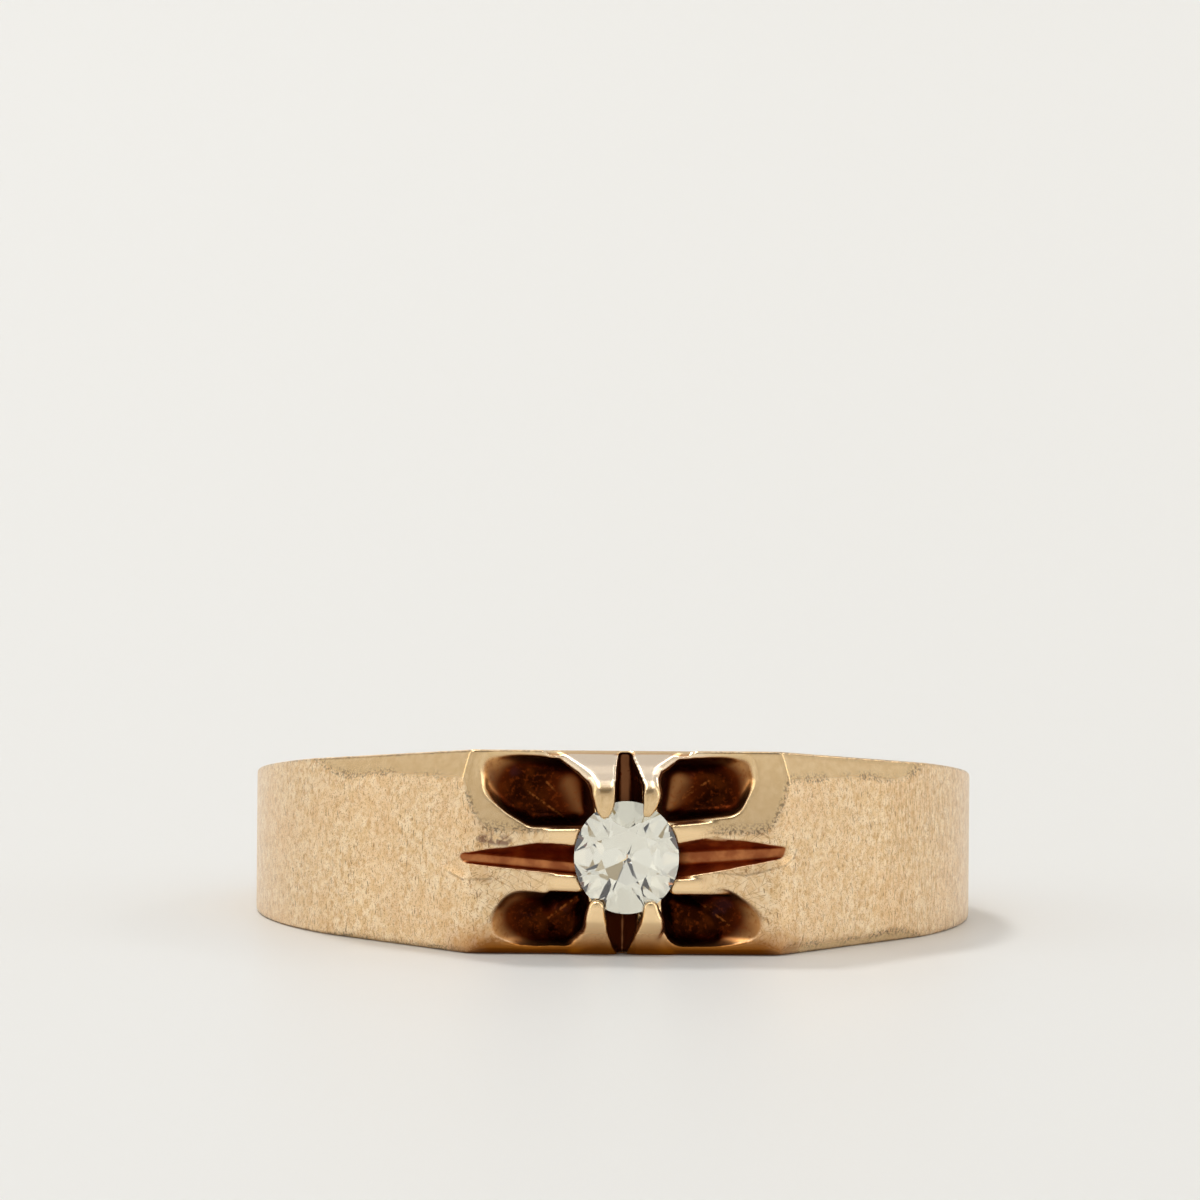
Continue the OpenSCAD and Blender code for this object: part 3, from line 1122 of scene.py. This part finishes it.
def filed_color(at, fine):
    """The colour of the filed faces, painted palest on the web above the stone as a painted sheen."""
    return paint(
        at.tree,
        "#e3c290",
        ("#eacb9c", (fine, 0.3, 0.7)),
        # Painted sheen: the up-facing web and top strip painted paler and cooler, as the light from
        # above would show them.
        ("#fde7c9", (at.up, 1.9, 2.3), (at.sideways, 3.0, 1.6)),
        ("#f8d6a4", (at.sideways, 4.6, 2.6), (at.filed, 0.06, 0.015)),
    )


def gold_color(at, fine):
    """Both skins together, with edges painted paler as a highlight, specks, brown at the band's rims,
    and dark lines of painted shade at the dishes' edges.
    """
    border = ((at.filed, 0.0, 0.02), (at.filed, 0.12, 0.03), (at.sideways, 2.0, 3.0))
    clusters = (grain(at, 1.3, 2.0), 0.36, 0.56)
    specks = (grain(at, SPECK, 5.0), 0.46, 0.6)
    dull = zone(at.tree, (grain(at, 0.25, 3.0), 0.3, 0.6, 0.4, 0.9), at.front, 0.45)
    return paint(
        at.tree,
        filed_color(at, fine),
        (matt_color(at, fine), at.matt),
        # Painted highlight: the head's convex edges painted near white.
        ("#ffeeda", at.bright, 0.7),
        ("#66523f", *border, clusters, specks, 0.7),
        ("#5a3a30", (at.rim, 0.10, 0.04), at.edge, (at.sideways, 4.4, 5.2), 0.75),
        # Painted shade: dark lines along the edges of the shallow dishes.
        *(("#7a5a3c", line_mask(at, *row, LINE), dull) for row in DISH_EDGE_SHADE_LINES),
    )


print(f"{len(DISH_EDGE_SHADE_LINES)} creases, specks of {SPECK} mm")

# %% [markdown]
# ## Oxide in the carving
#
# Sulphur and polish residue darken gold that holds silver and copper. The deeper the carving,
# the darker: brown at the rims, nearly black at the bottom, and red brown on the flat floors of
# the slits. Along the lower edge a warm dark brown is painted shade, the reflection of the
# shadowed card under the head. Lighter lines along the floors of the scoops are painted
# highlights on the creases that the graver left, broken up by noise.

# %% Coats of oxide
# A lighter line painted along the floor of each scoop: a painted highlight on the crease that the
# graver left there
VALLEY_HIGHLIGHTS = [
    ((-1.47, 0.91), (-2.81, 1.85)),
    ((-2.03, 1.88), (-2.28, 2.13)),
    ((1.15, 1.31), (1.95, 2.02)),
    ((1.30, 1.42), (2.40, 2.20)),
    ((-1.22, -1.05), (-2.27, -1.82)),
    ((1.85, -1.08), (3.00, -1.94)),
]


def oxide_color(at, dirt):
    """Brown to black in the scoops, red brown in the slits, lighter lines painted as highlights on the
    scoop floors, and painted shade at the lower edge.
    """
    small = grain(at, 0.12, 4.0)
    broken = zone(at.tree, (grain(at, 0.12, 2.0), 0.38, 0.62, 0.0, 0.6))
    reds = (("#bf7a4a", (dirt, 0.35, 0.7)), ("#70472c", (at.sideways, 1.1, 0.7)))
    return paint(
        at.tree,
        "#cc955c",
        ("#501d06", (at.carved, 0.08, 0.42)),
        ("#260b02", (at.carved, 0.30, 0.62)),
        ("#6e320e", (dirt, 0.45, 0.7, 0.0, 0.3)),
        ("#7c3612", (small, 0.5, 0.7, 0.0, 0.4)),
        ("#43262f", (grain(at, 0.9, 2.0), 0.6, 0.75, 0.0, 0.35)),
        (paint(at.tree, "#945230", *reds), at.slit),
        # Painted highlights along the graver's creases on the scoop floors
        *(("#8f5226", line_mask(at, *row, LINE), broken) for row in VALLEY_HIGHLIGHTS),
        # Painted shade along the lower edge: the warm dark reflection of the shadowed card.
        ("#a05e0c", at.low),
    )


print(f"{len(VALLEY_HIGHLIGHTS)} lines on the floors of the scoops")

# %% [markdown]
# ## Gold and oxide together
#
# Both are metals, so both shaders are metallic, and the zone of the oxide, with the painted
# shade along the lower edge, mixes them. The worn gold gets its roughness from the same zones
# as its colour and a faint bump from its grain. A thin coat stands for the film of skin grease
# on a worn ring.

# %% The material of the band
# Roughness of the filed, the matt and the rubbed gold, and the height of a grain in mm
FILED, MATT, RUBBED = ((value, value, value, 1.0) for value in (0.22, 0.40, 0.24))
GRAIN_DEEP = 0.02


def worn_gold():
    """Pale worn gold with scratches, pits and oxide in the carving, and painted shade along the lower
    edge.
    """
    material, tree = new_material("worn 14 carat gold")
    at = read_surface(tree)
    fine = grain(at, 0.22, 6.0)
    dirt = grain(at, 0.5, 5.0)
    bump = {"Strength": 0.4, "Distance": GRAIN_DEEP * MM, "Height": zone(tree, fine, at.matt)}
    crust = {"Strength": 0.3, "Distance": GRAIN_DEEP * MM, "Height": dirt}
    worn = {
        "Base Color": gold_color(at, fine),
        "Metallic": 1.0,
        "Roughness": paint(tree, FILED, (MATT, at.matt), (RUBBED, at.bright)),
        "Normal": add_node(tree, "Bump", bump).outputs["Normal"],
        "Coat Weight": 0.5,
        "Coat Roughness": 0.3,
    }
    dark = {
        "Base Color": oxide_color(at, dirt),
        "Metallic": 1.0,
        "Roughness": 0.28,
        "Normal": add_node(tree, "Bump", crust).outputs["Normal"],
    }
    worn = add_node(tree, "BsdfPrincipled", worn).outputs[0]
    dark = add_node(tree, "BsdfPrincipled", dark).outputs[0]
    mixed = add_node(tree, "MixShader", {0: at.oxide, 1: worn, 2: dark}).outputs[0]
    add_node(tree, "OutputMaterial", {"Surface": mixed})
    return material


dress(band, worn_gold())
print(f"{band.active_material.name}: {len(band.active_material.node_tree.nodes)} nodes")

# %% [markdown]
# ## Diamond
#
# Diamond bends light more than any other clear stone, so most of what enters the crown comes
# back out of it, and each facet shows another piece of the room. This one has the faint
# yellow green of an old stone. Its facets are flat and polished, without any bump.

# %% Clear stone with a faint tint
def old_diamond():
    """Polished diamond of a faint greenish yellow."""
    material, tree = new_material("old cut diamond")
    facets = {
        "Base Color": hex_color("#fdfbea"),
        "Roughness": 0.0,
        "IOR": 2.417,
        "Transmission Weight": 1.0,
    }
    shader = add_node(tree, "BsdfPrincipled", facets)
    add_node(tree, "OutputMaterial", {"Surface": shader.outputs[0]})
    return material


dress(diamond, old_diamond())
print(f"{diamond.active_material.name}: roughness 0, IOR 2.417")

# %% [markdown]
# ## Floor and lamps
#
# The ring lies on white card. One small lamp stands behind it, above and to the left: it throws
# the short shadow to the front and right and draws the bright lines along the rims. Two weak
# lamps above the front give the knuckles of the claws their spots, and a faint one behind the
# right side adds a line to the rims.

# %% White card and lamps
# Side of the card and distance of the lamps, in m
CARD = 4
LAMP_FAR = 1.5
# Lamps: direction from the ring, width as seen from it in degrees, share of the card's light
LAMPS = {
    "back_lamp": ((-0.27, 0.66, 1.0), 9.0, 0.25),
    "left_lamp": ((-0.25, -0.155, 1.0), 20.0, 0.13),
    "right_lamp": ((0.22, -0.155, 1.0), 14.0, 0.06),
    "rim_lamp": ((0.65, 0.40, 0.64), 10.0, 0.03),
}


def white_card():
    """Matt white card."""
    material, tree = new_material("matt white card")
    card = {"Base Color": hex_color(CARD_COLOR), "Roughness": 0.45}
    shader = add_node(tree, "BsdfPrincipled", card)
    add_node(tree, "OutputMaterial", {"Surface": shader.outputs[0]})
    return material


floor = put("plane", "floor", size=CARD)
dress(floor, white_card())

for name, (way, width, share) in LAMPS.items():
    direction = Vector(way).normalized()
    bpy.ops.object.light_add(type="AREA", location=LAMP_FAR * direction)
    lamp = bpy.context.object
    lamp.name = name
    lamp.rotation_euler = direction.to_track_quat("Z", "Y").to_euler()
    lamp.data.shape = "DISK"
    lamp.data.size = 2 * LAMP_FAR * tan(radians(width / 2))
    lamp.data.energy = share * (pi * LAMP_FAR) ** 2 / direction.z
    lamp.visible_camera = False
    lamp.visible_transmission = False
print(f"{len(LAMPS)} lamps over a card of {CARD} m")

# %% [markdown]
# ## The room
#
# Polished metal shows the room that it stands in. This one is bright at the front, has a darker
# gap above that and a cooler ceiling, and the contrast between them makes the gold look like
# metal. Dark things that stand about break the light up in the diamond's facets, and a narrow
# strip light arches over the ring, which the rims of the scoops show as white lines.

# %% Zones, gap, clutter and strip light
# Brightness of the room by the height above the horizon, from 0 to 1, as sRGB
ROOM = [(0.0, "#f2f1ee"), (0.3, "#eeedea"), (0.6, "#d6d5d3"), (0.8, "#c0c2c8"), (1.0, "#c6cbd6")]
# The darker gap between the bright front and the ceiling: direction, narrowing across, and
# inner and outer reach
GAP_WAY = Vector((0, -0.485, 0.875))
GAP_WIDE = Vector((0.85, 1, 1))
GAP_REACH = (0.22, 0.32)
GAP_COLOR = "#6c6a68"
# Dark things that stand about in the room: size on a sphere of radius 1, the soft step of the
# noise where they begin, and their colour
CLUTTER = 0.11
CLUTTER_RARE = (0.57, 0.60)
CLUTTER_COLOR = "#a3906a"
# A strip light that arches over the ring from side to side: how far to the front, half width,
# how far from the top it ends, and its light against the room's
ARCH_FRONT = 0.12
ARCH_HALF = 0.10
ARCH_END = 0.36
ARCH_LIGHT = 4.0

world = bpy.data.worlds.new("bright_room")
world.use_nodes = True
room = world.node_tree
room.nodes.clear()
way = add_node(room, "TexCoord").outputs["Generated"]
parts = add_node(room, "SeparateXYZ", {0: way}).outputs
zones = add_node(room, "ValToRGB", {"Fac": parts["Z"]})
while len(zones.color_ramp.elements) < len(ROOM):
    zones.color_ramp.elements.new(0.5)
for element, (place, code) in zip(zones.color_ramp.elements, ROOM):
    element.position = place
    element.color = hex_color(code)
squeezed = add_node(room, "VectorMath", {0: way, 1: GAP_WIDE}, operation="MULTIPLY").outputs[0]
off_gap = add_node(room, "VectorMath", {0: squeezed, 1: GAP_WAY}, operation="DISTANCE").outputs["Value"]
things = add_node(room, "TexNoise", {"Vector": way, "Scale": 1 / CLUTTER, "Detail": 1.0}).outputs["Fac"]
color = paint(
    room,
    zones.outputs["Color"],
    (GAP_COLOR, (off_gap, *reversed(GAP_REACH))),
    (CLUTTER_COLOR, (things, *CLUTTER_RARE), (parts["Z"], 0.1, 0.25)),
)
aside = add_node(room, "Math", {0: parts["X"]}, operation="ABSOLUTE").outputs[0]
ahead = add_node(room, "Math", {0: parts["Y"], 1: ARCH_FRONT}, operation="ADD").outputs[0]
ahead = add_node(room, "Math", {0: ahead}, operation="ABSOLUTE").outputs[0]
arch = zone(
    room,
    (ahead, ARCH_HALF, 0.6 * ARCH_HALF),
    (aside, ARCH_END, 1.2 * ARCH_END),
    (parts["Z"], 0.12, 0.25),
)
glow = add_node(room, "Math", {0: arch, 1: ARCH_LIGHT - 1, 2: 1.0}, operation="MULTIPLY_ADD").outputs[0]
light = add_node(room, "Background", {"Color": color, "Strength": glow})
add_node(room, "OutputWorld", {"Surface": light.outputs[0]})
bpy.context.scene.world = world
bpy.context.scene.view_settings.view_transform = "Standard"
print(f"{world.name}: {len(ROOM)} zones, {len(room.nodes)} nodes")
